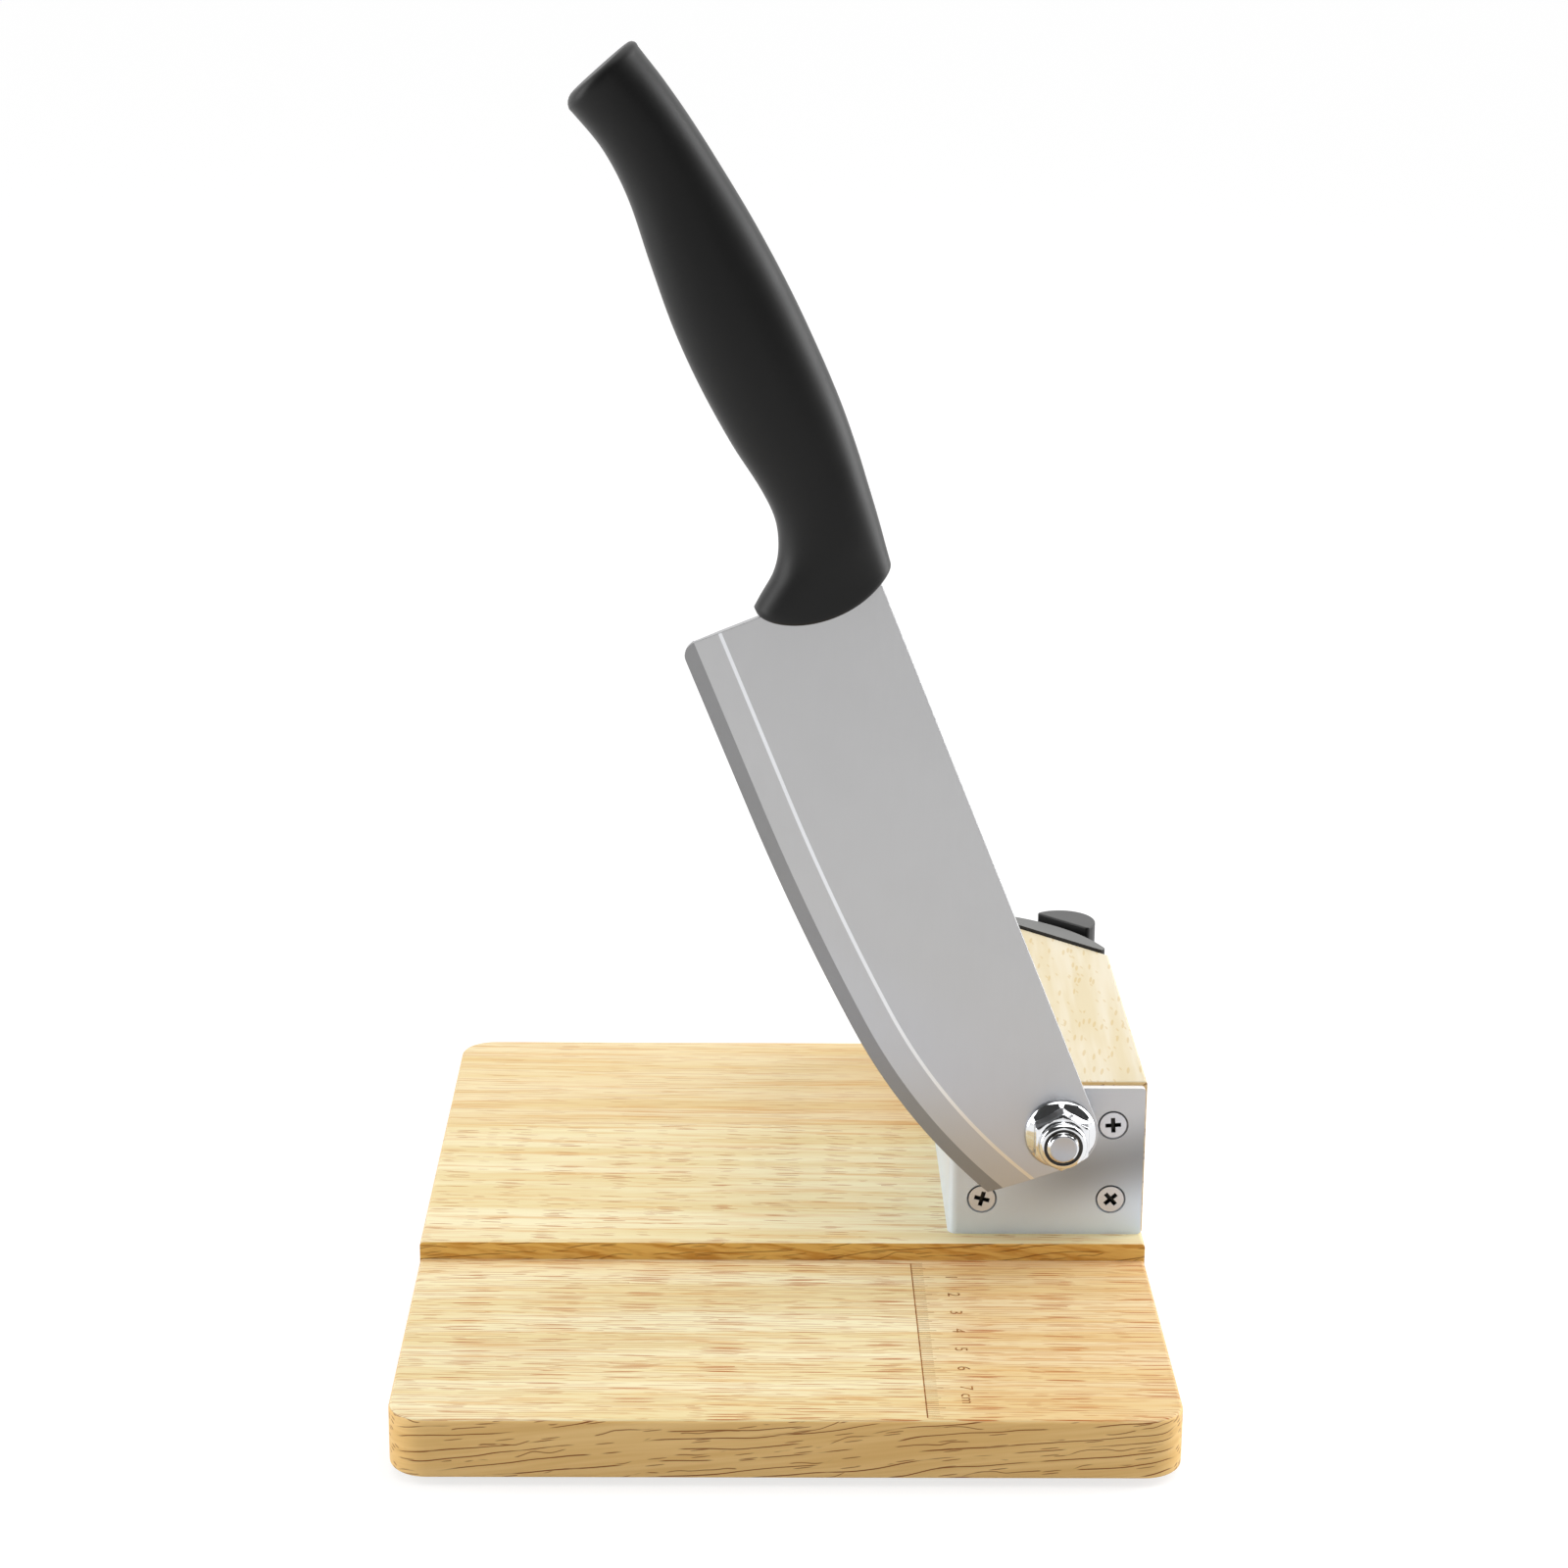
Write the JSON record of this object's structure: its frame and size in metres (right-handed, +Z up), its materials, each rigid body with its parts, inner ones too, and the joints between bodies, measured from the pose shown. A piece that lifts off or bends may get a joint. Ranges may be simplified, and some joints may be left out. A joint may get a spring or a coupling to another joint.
{
  "type": "bagel guillotine slicer",
  "caption": "Wooden board with a stepped cutting ledge and a handled blade that pivots on a bolt through a steel-faced block, with a sharpener at the back.",
  "frame": {"origin": "on the table, under the middle of the board: the feet's undersides are at Z = 0", "axes": "+X to the right along the board's width, +Y away from the user, +Z up; the knife swings in the XZ plane"},
  "size_m": [0.18, 0.227, 0.3125],
  "materials": {
    "board_wood": "oiled rubberwood, fine dark pores along the board's width",
    "block_wood": "oiled rubberwood, pale, small ochre flecks along the block's length",
    "bracket_steel": "satin stainless steel",
    "blade_steel": "satin stainless steel, ground bevels",
    "polished_steel": "polished stainless steel",
    "screw_steel": "zinc-plated steel",
    "handle_plastic": "moulded black plastic, satin",
    "sharpener_plastic": "moulded dark grey plastic, satin",
    "hard_metal": "ground hard metal",
    "bearing_nylon": "natural nylon",
    "ring_nylon": "black nylon",
    "foot_rubber": "soft non-slip rubber"
  },
  "bodies": {
    "stand": {"base_board": "board_wood", "pivot_block": "block_wood", "pivot_bracket": "bracket_steel", "bracket_screw_upper_left": "screw_steel", "bracket_screw_upper_right": "screw_steel", "bracket_screw_lower_left": "screw_steel", "bracket_screw_lower_right": "screw_steel", "flange_screw_front": "screw_steel", "flange_screw_rear": "screw_steel", "block_screw_front": "screw_steel", "block_screw_middle": "screw_steel", "block_screw_rear": "screw_steel", "foot_front_left": "foot_rubber", "foot_front_right": "foot_rubber", "foot_rear_left": "foot_rubber", "foot_rear_right": "foot_rubber", "pivot_bolt": "polished_steel", "pivot_jam_nut": "polished_steel", "pivot_washer": "polished_steel", "bearing_washer": "bearing_nylon", "flange_nut": "polished_steel", "nut_lock_ring": "ring_nylon", "sharpener_backplate": "sharpener_plastic", "sharpener_outer_wall": "sharpener_plastic", "sharpener_insert_left": "hard_metal", "sharpener_insert_right": "hard_metal", "sharpener_screw_left": "screw_steel", "sharpener_screw_right": "screw_steel", "sharpener_wall_screw": "screw_steel"},
    "knife": {"blade": "blade_steel", "handle": "handle_plastic"}
  },
  "joints": [
    {"name": "knife_hinge", "type": "hinge", "parent": "stand", "child": "knife", "pos_m": [0.06765, -0.02855, 0.0517], "axis": [0, -1, 0], "range_deg": [-45, 64.4]}
  ]
}
